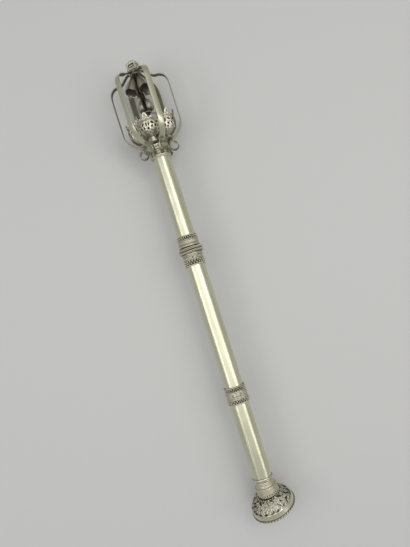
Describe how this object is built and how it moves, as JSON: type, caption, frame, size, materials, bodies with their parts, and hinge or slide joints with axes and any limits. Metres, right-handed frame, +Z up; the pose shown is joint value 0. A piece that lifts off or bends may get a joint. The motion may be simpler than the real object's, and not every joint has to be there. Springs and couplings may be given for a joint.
{
  "type": "silver ceremonial sceptre with open cage head",
  "caption": "Silver sceptre: banded tube shaft, pierced bell foot, and an open cage of bent straps around pierced calyx cups and smooth bell flowers.",
  "frame": {"origin": "on the surface that the sceptre lies on, under the centre of its bounding box", "axes": "+Y along the shaft towards the head, +Z up from the surface that it lies on, +X to the right"},
  "size_m": [0.0718, 0.5488, 0.0683],
  "materials": {
    "shaft_silver": "polished silver sheet tube, warm, fine lengthwise brushing and a few soft dents",
    "strap_silver": "hand-bent silver strap, satin, with fine scratches",
    "cast_silver": "beaded and corded silver, worn bright on top with dark tarnish in the recesses",
    "pierced_silver": "pierced and chased silver sheet with dark tarnish in the piercings"
  },
  "bodies": {
    "root": {"shaft_tube_lower": "shaft_silver", "shaft_tube_middle": "shaft_silver", "shaft_tube_upper": "shaft_silver", "shaft_end_ring": "cast_silver", "lower_knot_collar": "cast_silver", "upper_knot_lower_collar": "cast_silver", "upper_knot_upper_collar": "cast_silver", "upper_knot_rope_ring": "cast_silver", "head_collar": "cast_silver", "central_stem": "cast_silver", "calyx_cup_front": "pierced_silver", "calyx_cup_right": "pierced_silver", "calyx_cup_back": "pierced_silver", "calyx_cup_left": "pierced_silver", "bell_flower_front_left": "cast_silver", "bell_flower_front_right": "cast_silver", "bell_flower_back_right": "cast_silver", "bell_flower_back_left": "cast_silver", "strap_front_left": "strap_silver", "strap_front_right": "strap_silver", "strap_right": "strap_silver", "strap_back_right": "strap_silver", "strap_back_left": "strap_silver", "strap_left": "strap_silver", "cage_hub": "cast_silver", "finial_block": "cast_silver", "foot_collar": "cast_silver", "foot_dome": "pierced_silver", "foot_rim_rope": "cast_silver"}
  },
  "joints": []
}
